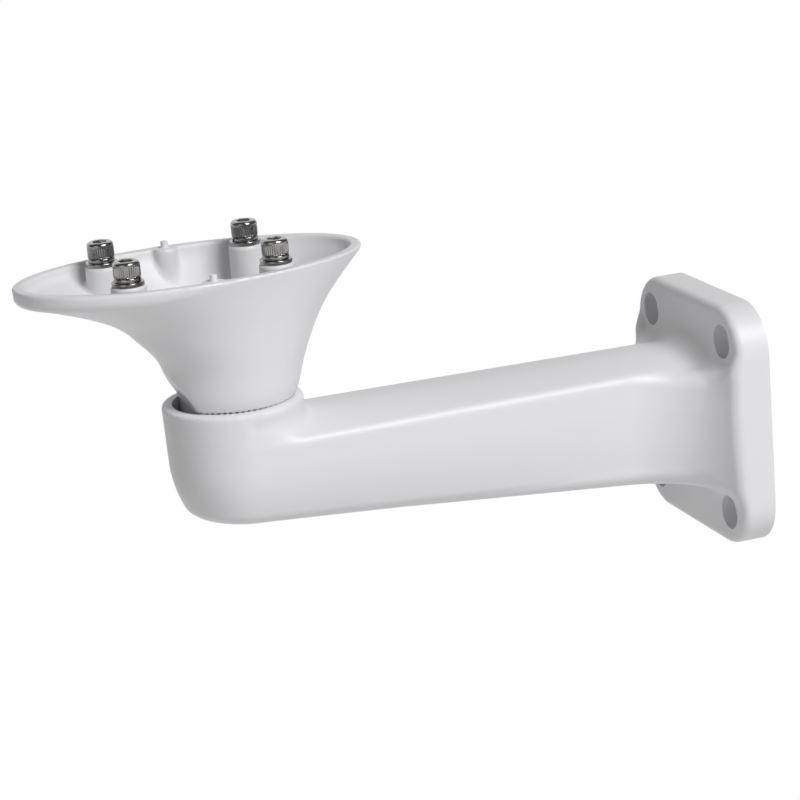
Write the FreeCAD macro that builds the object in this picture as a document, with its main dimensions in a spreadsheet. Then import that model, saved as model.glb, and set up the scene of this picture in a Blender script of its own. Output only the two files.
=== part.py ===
import FreeCAD, Part
import Sketcher
import math
import os
import re

# Camera wall bracket: a cast arm on a wall plate, with a swivel head that carries a camera.
# X points out of the wall, Y to the side and Z up. The origin is the centre of the plate's back.

# Driving sizes in millimetres, as alias, value and meaning
SIZES = (
    ("plate_width", 92.2, "wall plate, side to side"),
    ("plate_height", 97.0, "wall plate, up and down"),
    ("plate_thick", 13.3, "wall plate, back to front"),
    ("plate_corner", 19.0, "corner radius of the wall plate"),
    ("plate_edge", 4.0, "rounding of the plate's front edge"),
    ("plate_skin", 5.5, "front wall of the cored plate"),
    ("plate_rim", 5.0, "rim wall round the plate's back"),
    ("hole_across", 64.4, "wall holes, side to side"),
    ("hole_up", 69.6, "wall holes, up and down"),
    ("hole_bore", 7.0, "wall hole"),
    ("hole_sink", 13.4, "counterbore of a wall hole"),
    ("hole_sink_depth", 6.0, "depth of a counterbore"),
    ("hole_boss", 20.0, "boss round a wall hole, behind the plate"),
    ("axis_reach", 201.7, "wall to the swivel axis"),
    ("arm_root_half", 21.6, "half width of the arm's crease at the wall"),
    ("arm_cup_half", 26.2, "half width of the arm's crease at the cup"),
    ("arm_draft", 1.0, "each side of the arm leans in by this at its foot"),
    ("arm_crease", 23.5, "height of the crease along the arm's top"),
    ("arm_crown", 28.4, "height of the crowned top"),
    ("arm_root_foot", -26.4, "height of the arm's underside at the wall"),
    ("arm_cup_foot", -9.3, "height of the arm's underside at the swivel axis"),
    ("arm_root_round", 8.0, "lower edge rounding at the wall"),
    ("arm_cup_round", 12.0, "lower edge rounding at the cup"),
    ("arm_wall", 4.2, "wall of the hollow arm"),
    ("root_margin", 1.9, "the spread root stays inside the plate's sides by this"),
    ("root_turn", 68.0, "degrees of arc in the spread root's sides"),
    ("root_round", 17.0, "corner radius of the spread root at the plate"),
    ("root_inset", 1.5, "the spread root stays inside the arm's edges by this"),
    ("cup_radius", 26.9, "outside of the cup at its rim"),
    ("cup_foot_radius", 25.5, "outside of the cup at its floor"),
    ("cup_top", 36.3, "height of the cup's rim"),
    ("cup_foot", -10.0, "height of the cup's underside"),
    ("cup_foot_round", 11.0, "lower edge rounding of the cup"),
    ("cup_lip_round", 1.5, "rounding of the cup's rim"),
    ("cup_wall", 4.0, "wall of the cup"),
    ("cup_floor", 4.5, "floor of the cup"),
    ("seat_bore", 30.0, "opening inside the toothed seat"),
    ("seat_depth", 6.0, "thickness of the seat ring"),
    ("notch_chord", 16.8, "swivel axis to the notch in the seat"),
    ("notch_depth", 22.0, "depth of the notch"),
    ("tooth_count", 60.0, "teeth round the seat"),
    ("tooth_reach", 22.3, "swivel axis to the outer end of a groove"),
    ("tooth_half", 0.8, "half width of a groove between teeth"),
    ("tooth_depth", 1.0, "depth of a groove"),
    ("swivel_gap", 0.3, "running gap between head and cup"),
    ("clamp_boss", 18.0, "boss for the clamp bolt"),
    ("clamp_boss_top", 19.0, "height of the clamp boss"),
    ("clamp_diameter", 8.0, "clamp bolt"),
    ("clamp_tip", 3.0, "height of the clamp bolt's tip"),
    ("clamp_slack", 0.5, "clearance round the clamp bolt in the bridge"),
    ("thread_slack", 0.1, "clearance drawn at a thread"),
    ("bridge_width", 19.0, "bridge across the neck"),
    ("bridge_base", 4.0, "seat to the underside of the bridge"),
    ("bridge_thick", 6.0, "thickness of the bridge"),
    ("head_wall", 3.4, "wall of the swivel head"),
    ("head_relief", 2.0, "extra wall behind the flat"),
    ("rim_lip", 4.0, "width of the head's flat lip"),
    ("column_diameter", 13.0, "column under a camera screw"),
    ("screw_along", 56.1, "camera screws, front to back"),
    ("screw_across", 39.2, "camera screws, side to side"),
    ("screw_shift", 11.7, "centre of the screws, forward of the swivel axis"),
    ("screw_diameter", 6.0, "camera screw"),
    ("screw_length", 14.0, "camera screw below its head"),
    ("screw_bottom", 0.6, "room under a camera screw's tip"),
    ("spring_thick", 1.6, "spring washer of a camera screw"),
    ("spring_width", 10.0, "outside of that spring washer"),
    ("flat_thick", 1.6, "flat washer of a camera screw"),
    ("flat_width", 12.0, "outside of that flat washer"),
    ("clamp_spring_thick", 2.0, "spring washer of the clamp bolt"),
    ("clamp_spring_width", 13.0, "outside of that spring washer"),
    ("clamp_flat_thick", 1.6, "flat washer of the clamp bolt"),
    ("clamp_flat_width", 16.0, "outside of that flat washer"),
    ("washer_slack", 0.2, "clearance inside a washer, each side"),
    ("spring_slit", 1.0, "slit in a spring washer"),
    ("peg_across", 67.8, "locating pegs, side to side"),
    ("peg_shift", 11.7, "locating pegs, forward of the swivel axis"),
    ("peg_diameter", 2.8, "locating peg"),
    ("peg_height", 2.6, "locating peg above the lip"),
    ("peg_boss", 9.0, "round boss under a peg"),
    ("peg_boss_depth", 24.0, "depth of that boss below the lip"),
    ("facet_chord", 18.0, "swivel axis to the flat at its foot"),
    ("facet_lean", 8.9, "the flat leans forward by this"),
    ("facet_height", 18.6, "seat to the top of the flat"),
    ("facet_step", 2.0, "seat to the foot of the flat"),
)

# Outline of the swivel head: rise above the seat, then reach to the front, back and sides
STATIONS = (
    ("seat", 0.0, 22.3, 23.6, 21.9),
    ("collar", 3.4, 23.5, 25.6, 23.6),
    ("neck", 10.4, 24.6, 27.7, 25.0),
    ("throat", 18.4, 27.2, 30.6, 26.4),
    ("waist", 26.4, 33.6, 34.4, 28.2),
    ("bell", 34.4, 42.6, 39.2, 30.9),
    ("spread", 41.4, 57.4, 45.0, 32.5),
    ("brim", 47.9, 75.6, 51.2, 36.1),
    ("lip", 53.4, 77.95, 54.75, 38.23),
)

# Heights that several pieces share
SEAT = "(cup_top + swivel_gap)"
LIP = "(cup_top + swivel_gap + lip_rise)"
SCREW_SPOTS = [(f"screw_shift {along} screw_along / 2", f"{side}screw_across / 2")
               for along in "+-" for side in ("", "-")]

document = FreeCAD.newDocument("camera_wall_bracket")
sheet = document.addObject("Spreadsheet::Sheet", "Sizes")


def fill_sheet():
    """Write every size into the sheet, one row each, and return the set of aliases."""
    rows = list(SIZES)
    for name, rise, front, back, side in STATIONS:
        rows.append((f"{name}_rise", rise, f"seat to the head's {name} outline"))
        rows.append((f"{name}_front", front, f"{name} outline, axis to front"))
        rows.append((f"{name}_back", back, f"{name} outline, axis to back"))
        rows.append((f"{name}_side", side, f"{name} outline, axis to side"))
    for row, (alias, number, meaning) in enumerate(rows, start=1):
        sheet.set(f"A{row}", meaning)
        sheet.set(f"B{row}", str(number))
        sheet.setAlias(f"B{row}", alias)
    document.recompute()
    return {alias for alias, _, _ in rows}


ALIASES = fill_sheet()


def formula(text):
    """Turn a formula on aliases into an expression on the sheet."""
    def refer(word):
        return f"Sizes.{word.group()}" if word.group() in ALIASES else word.group()
    return re.sub(r"[a-z][a-z_]*", refer, text)


def value(text):
    """Work out a formula with the sheet's present sizes."""
    return float(sheet.evalExpression(formula(text)))


def new_body(label, place=("0", "0", "0")):
    """Make an empty body at a place given by three formulas."""
    body = document.addObject("PartDesign::Body", label)
    body.Label = label
    for axis, text in zip("xyz", place):
        body.setExpression(f"Placement.Base.{axis}", formula(text))
    document.recompute()
    return body


def new_sketch(body, name, plane, offset="0", shift_x="0", shift_y="0"):
    """Attach a sketch to one of the body's own origin planes, moved along its own axes."""
    sketch = body.newObject("Sketcher::SketchObject", name)
    base = [item for item in body.Origin.OriginFeatures if item.Role == plane][0]
    sketch.AttachmentSupport = [(base, "")]
    sketch.MapMode = "FlatFace"
    for axis, text in zip("xyz", (shift_x, shift_y, offset)):
        if text != "0":
            sketch.setExpression(f"AttachmentOffset.Base.{axis}", formula(text))
    return sketch


def bind(sketch, constraint, text):
    """Add a dimension to a sketch and bind it to a formula."""
    index = sketch.addConstraint(constraint)
    sketch.setExpression(f"Constraints[{index}]", formula(text))


def pin_point(sketch, piece, end, across, up):
    """Hold a point of a sketch at two formulas from the sketch's origin."""
    bind(sketch, Sketcher.Constraint("DistanceX", -1, 1, piece, end, value(across)), across)
    bind(sketch, Sketcher.Constraint("DistanceY", -1, 1, piece, end, value(up)), up)


def draw_circle(sketch, across, up, diameter):
    """Draw a circle bound to its centre and diameter."""
    centre = FreeCAD.Vector(value(across), value(up), 0)
    radius = value(diameter) / 2
    index = sketch.addGeometry(Part.Circle(centre, FreeCAD.Vector(0, 0, 1), radius), False)
    pin_point(sketch, index, 3, across, up)
    bind(sketch, Sketcher.Constraint("Diameter", index, 2 * radius), diameter)


def draw_ellipse(sketch, centre, along, across):
    """Draw an ellipse on the sketch's X axis, with half sizes along and across that axis."""
    middle = FreeCAD.Vector(value(centre), 0, 0)
    half_x, half_y = value(along), value(across)
    tip_x = middle + FreeCAD.Vector(half_x, 0, 0)
    tip_y = middle + FreeCAD.Vector(0, half_y, 0)
    first, second = (tip_x, tip_y) if half_x >= half_y else (tip_y, tip_x)
    index = sketch.addGeometry(Part.Ellipse(first, second, middle), False)
    sketch.exposeInternalGeometry(index)
    pin_point(sketch, index, 3, centre, "0")
    long_axis, short_axis = index + 1, index + 2
    flat, upright = (long_axis, short_axis) if half_x >= half_y else (short_axis, long_axis)
    sketch.addConstraint(Sketcher.Constraint("Horizontal", flat))
    bind(sketch, Sketcher.Constraint("Distance", flat, 2 * half_x), f"2 * ({along})")
    bind(sketch, Sketcher.Constraint("Distance", upright, 2 * half_y), f"2 * ({across})")


def draw_outline(sketch, corners):
    """Draw a closed outline. A corner is (x, y), (x, y, radius) or (x, y, radius, via).

    The radius rounds the corner. The via point makes the side after it an arc.
    """
    count = len(corners)
    spots = [FreeCAD.Vector(value(c[0]), value(c[1]), 0) for c in corners]
    radii = [c[2] if len(c) > 2 else "0" for c in corners]
    vias = [c[3] if len(c) > 3 else None for c in corners]
    arrive, leave, middles = [], [], []
    for i, spot in enumerate(spots):
        radius = value(radii[i])
        if radius == 0:
            arrive.append(spot)
            leave.append(spot)
            middles.append(None)
            continue
        to_last = (spots[i - 1] - spot).normalize()
        to_next = (spots[(i + 1) % count] - spot).normalize()
        half = to_last.getAngle(to_next) / 2
        arrive.append(spot + to_last * (radius / math.tan(half)))
        leave.append(spot + to_next * (radius / math.tan(half)))
        inward = (to_last + to_next).normalize()
        middles.append(spot + inward * (radius / math.sin(half) - radius))
    sides = []
    for i in range(count):
        start, end = leave[i], arrive[(i + 1) % count]
        if vias[i]:
            bow = FreeCAD.Vector(value(vias[i][0]), value(vias[i][1]), 0)
            piece = sketch.addGeometry(Part.Arc(start, bow, end), False)
            mark = sketch.addGeometry(Part.Point(bow), True)
            pin_point(sketch, mark, 1, *vias[i])
            sketch.addConstraint(Sketcher.Constraint("PointOnObject", mark, 1, piece))
        else:
            piece = sketch.addGeometry(Part.LineSegment(start, end), False)
        sides.append(piece)
    for i in range(count):
        before, after = sides[i - 1], sides[i]
        end_before = nearest_end(sketch, before, arrive[i])
        start_after = nearest_end(sketch, after, leave[i])
        if middles[i] is None:
            joint = Sketcher.Constraint("Coincident", before, end_before, after, start_after)
            sketch.addConstraint(joint)
            pin_point(sketch, after, start_after, corners[i][0], corners[i][1])
            continue
        bend = sketch.addGeometry(Part.Arc(arrive[i], middles[i], leave[i]), False)
        first = nearest_end(sketch, bend, arrive[i])
        last = nearest_end(sketch, bend, leave[i])
        sketch.addConstraint(Sketcher.Constraint("Tangent", before, end_before, bend, first))
        sketch.addConstraint(Sketcher.Constraint("Tangent", bend, last, after, start_after))
        bind(sketch, Sketcher.Constraint("Radius", bend, value(radii[i])), radii[i])
        mark = sketch.addGeometry(Part.Point(spots[i]), True)
        pin_point(sketch, mark, 1, corners[i][0], corners[i][1])
        sketch.addConstraint(Sketcher.Constraint("PointOnObject", mark, 1, before))
        sketch.addConstraint(Sketcher.Constraint("PointOnObject", mark, 1, after))


def nearest_end(sketch, piece, spot):
    """Say which end of a sketch piece, 1 or 2, lies at a spot."""
    first = (sketch.getPoint(piece, 1) - spot).Length
    second = (sketch.getPoint(piece, 2) - spot).Length
    return 1 if first <= second else 2


def add_feature(body, kind, name, profile, **settings):
    """Add a sketch-based feature, with lengths and angles bound where they are formulas."""
    feature = body.newObject(f"PartDesign::{kind}", name)
    feature.Profile = profile
    for key, setting in settings.items():
        if isinstance(setting, str) and key in ("Length", "Angle"):
            feature.setExpression(key, formula(setting))
        else:
            setattr(feature, key, setting)
    document.recompute()
    return feature


def add_loft(body, kind, name, sketches):
    """Loft through sketches in order."""
    feature = body.newObject(f"PartDesign::{kind}", name)
    feature.Profile = sketches[0]
    feature.Sections = [(sketch, [""]) for sketch in sketches[1:]]
    document.recompute()
    return feature


def add_round(body, name, radius, wanted, kind="Fillet"):
    """Round or chamfer the edges of the body's tip that the test accepts."""
    tip = body.Tip
    names = [f"Edge{i}" for i, edge in enumerate(tip.Shape.Edges, start=1) if wanted(edge)]
    feature = body.newObject(f"PartDesign::{kind}", name)
    feature.Base = (tip, names)
    feature.setExpression("Radius" if kind == "Fillet" else "Size", formula(radius))
    document.recompute()
    return feature


def add_ring(body, name, feature, sketch, count):
    """Repeat a feature about the upright axis of a sketch."""
    pattern = body.newObject("PartDesign::PolarPattern", name)
    pattern.Originals = [feature]
    pattern.Axis = (sketch, ["N_Axis"])
    pattern.Angle = 360
    pattern.setExpression("Occurrences", formula(count))
    body.Tip = pattern
    document.recompute()
    return pattern


def cut_with(body, name, tool):
    """Take another body's solid out of this one."""
    feature = body.newObject("PartDesign::Boolean", name)
    feature.Type = "Cut"
    feature.setObjects([tool])
    document.recompute()
    return feature


def corners_of(width, height, radius):
    """Give the four rounded corners of a rectangle about the sketch's origin."""
    return [
        (f"-({width}) / 2", f"-({height}) / 2", radius),
        (f"({width}) / 2", f"-({height}) / 2", radius),
        (f"({width}) / 2", f"({height}) / 2", radius),
        (f"-({width}) / 2", f"({height}) / 2", radius),
    ]


def wall_hole_circles(sketch, diameter):
    """Draw a circle at each of the four wall holes."""
    for side in ("-", ""):
        for level in ("-", ""):
            draw_circle(sketch, f"{side}hole_across / 2", f"{level}hole_up / 2", diameter)


def arm_section(sketch, inset, half, foot, bend):
    """Draw the arm's crowned section, drawn in by a wall."""
    top = f"({half}) - ({inset})"
    low = f"({half}) - arm_draft - ({inset})"
    crease = f"arm_crease - ({inset}) * 0.8"
    corner = f"max(({bend}) - ({inset}); 2)"
    draw_outline(sketch, [
        (f"-({top})", crease, "0", ("0", f"arm_crown - ({inset})")),
        (top, crease),
        (low, f"({foot}) + ({inset})", corner),
        (f"-({low})", f"({foot}) + ({inset})", corner),
    ])


def build_arm_hollow():
    """Build the space inside the arm: cable way, cup and the plate's cored back."""
    body = new_body("arm_hollow")
    start = new_sketch(body, "HollowRoot", "YZ_Plane", "-plate_rim")
    arm_section(start, "arm_wall", "arm_root_half", "arm_root_foot", "arm_root_round")
    end = new_sketch(body, "HollowCup", "YZ_Plane", "axis_reach")
    arm_section(end, "arm_wall", "arm_cup_half", "arm_cup_foot", "arm_cup_round")
    add_loft(body, "AdditiveLoft", "CableWay", [start, end])
    bore = new_sketch(body, "CupBore", "XZ_Plane", "0", "axis_reach")
    inner = "cup_foot_radius - cup_wall"
    ledge = "cup_top - seat_depth"
    draw_outline(bore, [
        ("0", "cup_foot + cup_floor"),
        (inner, "cup_foot + cup_floor", "cup_foot_round - cup_wall"),
        (inner, ledge),
        ("seat_bore / 2", ledge),
        ("seat_bore / 2", "cup_top + cup_floor"),
        ("0", "cup_top + cup_floor"),
    ])
    add_feature(body, "Revolution", "CupRoom", bore, ReferenceAxis=(bore, ["V_Axis"]), Angle=360)
    back = new_sketch(body, "CoreOutline", "YZ_Plane", "-plate_rim")
    draw_outline(back, corners_of("plate_width - 2 * plate_rim", "plate_height - 2 * plate_rim",
                                  "plate_corner - plate_rim"))
    add_feature(body, "Pad", "CoredBack", back, Length="plate_thick - plate_skin + plate_rim")
    bosses = new_sketch(body, "HoleBosses", "YZ_Plane", "-plate_rim")
    wall_hole_circles(bosses, "hole_boss")
    add_feature(body, "Pocket", "BossRoom", bosses, Reversed=True,
                Length="plate_thick + plate_rim")
    boss = new_sketch(body, "ClampBoss", "XY_Plane", "cup_foot", "axis_reach")
    draw_circle(boss, "0", "0", "clamp_boss")
    add_feature(body, "Pocket", "ClampBossRoom", boss, Reversed=True,
                Length="clamp_boss_top - cup_foot")
    return body


def build_wall_arm():
    """Build the casting that holds plate, arm and cup in one piece."""
    body = new_body("wall_arm")
    outline = new_sketch(body, "PlateOutline", "YZ_Plane")
    draw_outline(outline, corners_of("plate_width", "plate_height", "plate_corner"))
    add_feature(body, "Pad", "Plate", outline, Length="plate_thick")
    front = value("plate_thick")

    def on_front(edge):
        return all(abs(v.Point.x - front) < 0.01 for v in edge.Vertexes)
    add_round(body, "PlateEdge", "plate_edge", on_front)

    inner = "(arm_root_half - root_inset)"
    radius = f"(plate_width / 2 - root_margin - {inner}) / (1 - cos(root_turn))"
    rise = "(arm_cup_foot - arm_root_foot) / axis_reach"
    top = "arm_crease - root_inset"
    spreads = [("plate_thick - plate_edge", 1.0)]
    for share in (1.0, 0.8, 0.6, 0.4, 0.2, 0.0):
        spreads.append((f"(plate_thick + {radius} * (1 - sin(root_turn * {share})))", share))
    rings = []
    for step, (reach, share) in enumerate(spreads):
        bend = f"arm_root_round + (root_round - arm_root_round) * {share}"
        half = f"{inner} + {radius} * (1 - cos(root_turn * {share}))"
        foot = f"arm_root_foot + root_inset + {reach} * {rise}"
        ring = new_sketch(body, f"RootRing{step}", "YZ_Plane", reach)
        draw_outline(ring, [
            (f"-({half})", foot, bend),
            (half, foot, bend),
            (half, top, bend),
            (f"-({half})", top, bend),
        ])
        rings.append(ring)
    add_loft(body, "AdditiveLoft", "SpreadSeat", rings[:2])
    add_loft(body, "AdditiveLoft", "SpreadRoot", rings[1:])

    root = new_sketch(body, "ArmRoot", "YZ_Plane", "plate_thick - plate_skin / 2")
    arm_section(root, "0", "arm_root_half", "arm_root_foot", "arm_root_round")
    end = new_sketch(body, "ArmEnd", "YZ_Plane", "axis_reach")
    arm_section(end, "0", "arm_cup_half", "arm_cup_foot", "arm_cup_round")
    add_loft(body, "AdditiveLoft", "Arm", [root, end])

    cup = new_sketch(body, "CupProfile", "XZ_Plane", "0", "axis_reach")
    draw_outline(cup, [
        ("0", "cup_foot"),
        ("cup_foot_radius", "cup_foot", "cup_foot_round"),
        ("cup_radius", "cup_top", "cup_lip_round"),
        ("0", "cup_top"),
    ])
    add_feature(body, "Revolution", "Cup", cup, ReferenceAxis=(cup, ["V_Axis"]), Angle=360)
    cut_with(body, "Hollow", build_arm_hollow())

    notch = new_sketch(body, "SeatNotch", "XY_Plane", "cup_top", "axis_reach")
    radius = "(cup_radius - cup_wall)"
    tip = f"sqrt({radius} * {radius} - notch_chord * notch_chord)"
    draw_outline(notch, [
        ("notch_chord", f"-{tip}", "0", (radius, "0")),
        ("notch_chord", tip),
    ])
    add_feature(body, "Pocket", "Notch", notch, Length="notch_depth")

    sinks = new_sketch(body, "HoleSinks", "YZ_Plane", "plate_thick + plate_skin")
    wall_hole_circles(sinks, "hole_sink")
    add_feature(body, "Pocket", "Sinks", sinks, Length="hole_sink_depth + plate_skin")
    bores = new_sketch(body, "HoleBores", "YZ_Plane", "plate_thick")
    wall_hole_circles(bores, "hole_bore")
    add_feature(body, "Pocket", "Bores", bores, Length="plate_thick")

    tapped = new_sketch(body, "ClampThread", "XY_Plane", "clamp_boss_top", "axis_reach")
    draw_circle(tapped, "0", "0", "clamp_diameter + 2 * thread_slack")
    add_feature(body, "Pocket", "ClampHole", tapped, Length="clamp_boss_top - clamp_tip + 1")
    cut_teeth(body, "cup_top", False)
    return body


def cut_teeth(body, level, flip):
    """Cut the ring of grooves into a face at a level, downwards or, flipped, upwards."""
    axis = new_sketch(body, "ToothCentre", "XY_Plane", "0", AXIS_OF[body.Label])
    draw_circle(axis, "0", "0", "seat_bore")
    groove = new_sketch(body, "Groove", "YZ_Plane", f"{AXIS_OF[body.Label]} - tooth_reach")
    away = "+" if flip else "-"
    draw_outline(groove, [
        ("-tooth_half", level),
        ("tooth_half", level),
        ("0", f"{level} {away} tooth_depth"),
    ])
    cut = add_feature(body, "Pocket", "OneGroove", groove, Reversed=True,
                      Length="tooth_reach - seat_bore / 2 + tooth_half")
    return add_ring(body, "Teeth", cut, axis, "tooth_count")


AXIS_OF = {"wall_arm": "axis_reach", "swivel_head": "0"}


def head_ring(body, station, inset="0", front_inset="0", lift="0"):
    """Draw one outline of the head, drawn in by a wall and lifted."""
    sketch = new_sketch(body, f"{station}_outline", "XY_Plane",
                        f"{SEAT} + {station}_rise + {lift}")
    front = f"({station}_front - ({inset}) - ({front_inset}))"
    back = f"({station}_back - ({inset}))"
    draw_ellipse(sketch, f"({front} - {back}) / 2", f"({front} + {back}) / 2",
                 f"{station}_side - ({inset})")
    return sketch


def build_head_hollow():
    """Build the space inside the head, less its columns, peg bosses and bridge."""
    body = new_body("head_hollow")
    lift = "head_wall * 0.8"
    throat = new_sketch(body, "NeckBore", "XY_Plane", f"{SEAT} - 1")
    draw_ellipse(throat, "0", "seat_bore / 2", "seat_bore / 2")
    rings = [throat]
    rings.append(head_ring(body, "collar", "head_wall + head_relief", "head_relief", lift))
    rings.append(head_ring(body, "neck", "head_wall", "head_relief", lift))
    for station in ("throat", "waist", "bell", "spread"):
        rings.append(head_ring(body, station, "head_wall", "0", lift))
    rings.append(head_ring(body, "brim", "rim_lip", "0", lift))
    rings.append(head_ring(body, "lip", "rim_lip", "0", lift))
    add_loft(body, "AdditiveLoft", "Bowl", rings)
    columns = new_sketch(body, "Columns", "XY_Plane", LIP)
    for along, side in SCREW_SPOTS:
        draw_circle(columns, along, side, "column_diameter")
    add_feature(body, "Pocket", "ColumnRoom", columns, Length="lip_rise")
    pegs = new_sketch(body, "PegBosses", "XY_Plane", LIP)
    for side in ("", "-"):
        draw_circle(pegs, "peg_shift", f"{side}peg_across / 2", "peg_boss")
    add_feature(body, "Pocket", "PegBossRoom", pegs, Length="peg_boss_depth")
    bridge = new_sketch(body, "BridgeBar", "XY_Plane", f"{SEAT} + bridge_base + bridge_thick")
    draw_outline(bridge, corners_of("bridge_width", "2 * cup_radius", "0"))
    add_feature(body, "Pocket", "BridgeRoom", bridge, Length="bridge_thick")
    return body


def build_swivel_head():
    """Build the casting that turns on the cup and carries the camera."""
    body = new_body("swivel_head", ("axis_reach", "0", "0"))
    rings = [head_ring(body, station[0]) for station in STATIONS]
    add_loft(body, "AdditiveLoft", "Horn", rings)
    cut_with(body, "Hollow", build_head_hollow())
    flat = new_sketch(body, "FlatProfile", "XZ_Plane")
    draw_outline(flat, [
        ("facet_chord", f"{SEAT} - 1"),
        ("facet_chord", f"{SEAT} + facet_step"),
        ("facet_chord + facet_lean", f"{SEAT} + facet_height"),
        ("facet_chord + facet_lean + cup_radius", f"{SEAT} + facet_height"),
        ("facet_chord + facet_lean + cup_radius", f"{SEAT} - 1"),
    ])
    add_feature(body, "Pocket", "Flat", flat, Midplane=True, Length="2 * cup_radius")
    hole = new_sketch(body, "BridgeHole", "XY_Plane", f"{SEAT} + bridge_base + bridge_thick")
    draw_circle(hole, "0", "0", "clamp_diameter + 2 * clamp_slack")
    add_feature(body, "Pocket", "ClampWay", hole, Length="bridge_thick + bridge_base")
    bores = new_sketch(body, "ScrewBores", "XY_Plane", LIP)
    for along, side in SCREW_SPOTS:
        draw_circle(bores, along, side, "screw_diameter + 2 * thread_slack")
    add_feature(body, "Pocket", "ScrewHoles", bores,
                Length="screw_length + screw_bottom - spring_thick - flat_thick")
    pegs = new_sketch(body, "PegCircles", "XY_Plane", f"{LIP} - 1")
    for side in ("", "-"):
        draw_circle(pegs, "peg_shift", f"{side}peg_across / 2", "peg_diameter")
    add_feature(body, "Pad", "Pegs", pegs, Length="peg_height + 1")
    cut_teeth(body, SEAT, True)
    return body


def build_cap_screw(label, diameter, length, place):
    """Build a socket head cap screw that hangs down from the underside of its head."""
    body = new_body(label, place)
    head = f"{diameter} * 5 / 6"
    profile = new_sketch(body, "Profile", "XZ_Plane")
    draw_outline(profile, [
        ("0", f"-({length})"),
        (f"{diameter} * 0.4", f"-({length})"),
        (f"{diameter} / 2", f"{diameter} * 0.1 - ({length})"),
        (f"{diameter} / 2", "0"),
        (head, "0"),
        (head, diameter, f"{diameter} * 0.15"),
        ("0", diameter),
    ])
    add_feature(body, "Revolution", "Turned", profile, ReferenceAxis=(profile, ["V_Axis"]),
                Angle=360)
    key = new_sketch(body, "Socket", "XY_Plane", diameter)
    corner = f"{diameter} * 0.48"
    draw_outline(key, [(f"{corner} * {math.cos(math.radians(turn))}",
                        f"{corner} * {math.sin(math.radians(turn))}")
                       for turn in range(0, 360, 60)])
    add_feature(body, "Pocket", "Key", key, Length=f"{diameter} / 2")
    return body


def build_washer(label, diameter, width, thick, place, slit=False):
    """Build a flat washer, or a spring washer with its slanted slit."""
    body = new_body(label, place)
    ring = new_sketch(body, "Ring", "XY_Plane")
    draw_circle(ring, "0", "0", width)
    draw_circle(ring, "0", "0", f"{diameter} + 2 * washer_slack")
    add_feature(body, "Pad", "Washer", ring, Length=thick)
    if slit:
        gap = new_sketch(body, "Slit", "YZ_Plane")
        draw_outline(gap, [
            ("-spring_slit", "-spring_slit"),
            ("0", "-spring_slit"),
            ("spring_slit", f"{thick} + spring_slit"),
            ("0", f"{thick} + spring_slit"),
        ])
        add_feature(body, "Pocket", "Cut", gap, Reversed=True, Length=width)
    return body


def build_fasteners():
    """Build the four camera screws and the clamp bolt, each with its two washers."""
    made = []
    for number, (along, side) in enumerate(SCREW_SPOTS, start=1):
        spot = (f"axis_reach + {along}", side)
        made.append(build_washer(f"camera_flat_washer_{number}", "screw_diameter",
                                 "flat_width", "flat_thick", (*spot, LIP)))
        made.append(build_washer(f"camera_spring_washer_{number}", "screw_diameter",
                                 "spring_width", "spring_thick",
                                 (*spot, f"{LIP} + flat_thick"), slit=True))
        made.append(build_cap_screw(f"camera_screw_{number}", "screw_diameter",
                                    "screw_length",
                                    (*spot, f"{LIP} + flat_thick + spring_thick")))
    bridge = f"{SEAT} + bridge_base + bridge_thick + swivel_gap"
    made.append(build_washer("clamp_flat_washer", "clamp_diameter", "clamp_flat_width",
                             "clamp_flat_thick", ("axis_reach", "0", bridge)))
    made.append(build_washer("clamp_spring_washer", "clamp_diameter", "clamp_spring_width",
                             "clamp_spring_thick",
                             ("axis_reach", "0", f"{bridge} + clamp_flat_thick"), slit=True))
    under = f"{bridge} + clamp_flat_thick + clamp_spring_thick"
    made.append(build_cap_screw("clamp_bolt", "clamp_diameter", f"{under} - clamp_tip",
                                ("axis_reach", "0", under)))
    return made


def check_document():
    """Stop if any object of the document failed to build."""
    document.recompute()
    for item in document.Objects:
        if "Invalid" in item.State or "Error" in item.State:
            raise RuntimeError(f"{item.Label} failed: {item.State}")


def write_part(body):
    """Check one body's solid and write it as a STEP file named after it."""
    shape = body.Shape
    if shape.isNull() or not shape.isValid() or len(shape.Solids) != 1:
        raise RuntimeError(f"{body.Label} is not one valid solid: {len(shape.Solids)}")
    shape.exportStep(os.path.join("parts", f"{body.Label}.step"))
    print(f"{body.Label}: {shape.Volume / 1000:.2f} cubic centimetres")


bodies = [build_wall_arm(), build_swivel_head(), *build_fasteners()]
check_document()
os.makedirs("parts", exist_ok=True)
for body in bodies:
    write_part(body)
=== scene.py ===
import logging
import math
from collections.abc import Callable, Iterable, Sequence
from dataclasses import dataclass, field
from enum import Enum
from typing import Any

import bmesh
import bpy
import numpy as np
from mathutils import Matrix

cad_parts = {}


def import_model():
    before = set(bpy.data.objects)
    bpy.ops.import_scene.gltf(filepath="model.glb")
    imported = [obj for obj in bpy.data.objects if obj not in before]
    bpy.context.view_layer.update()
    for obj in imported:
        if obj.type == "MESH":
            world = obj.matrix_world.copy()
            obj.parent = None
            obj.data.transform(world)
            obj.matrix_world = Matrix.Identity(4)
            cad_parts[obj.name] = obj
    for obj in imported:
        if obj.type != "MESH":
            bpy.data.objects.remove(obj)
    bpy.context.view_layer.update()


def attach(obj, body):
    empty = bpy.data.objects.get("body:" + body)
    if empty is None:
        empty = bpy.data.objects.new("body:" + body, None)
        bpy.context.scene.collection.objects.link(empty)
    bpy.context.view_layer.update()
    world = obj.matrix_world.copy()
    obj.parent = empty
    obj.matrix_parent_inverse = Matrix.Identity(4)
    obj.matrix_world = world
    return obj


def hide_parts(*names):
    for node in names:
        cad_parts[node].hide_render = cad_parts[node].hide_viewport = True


logging.basicConfig(level=logging.INFO, format="%(message)s")
log = logging.getLogger("bracket")

MM = 0.001
Array = np.ndarray
Point = tuple[float, float, float]
Span = tuple[float, float]
Skin = Callable[[Array], Array]


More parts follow.
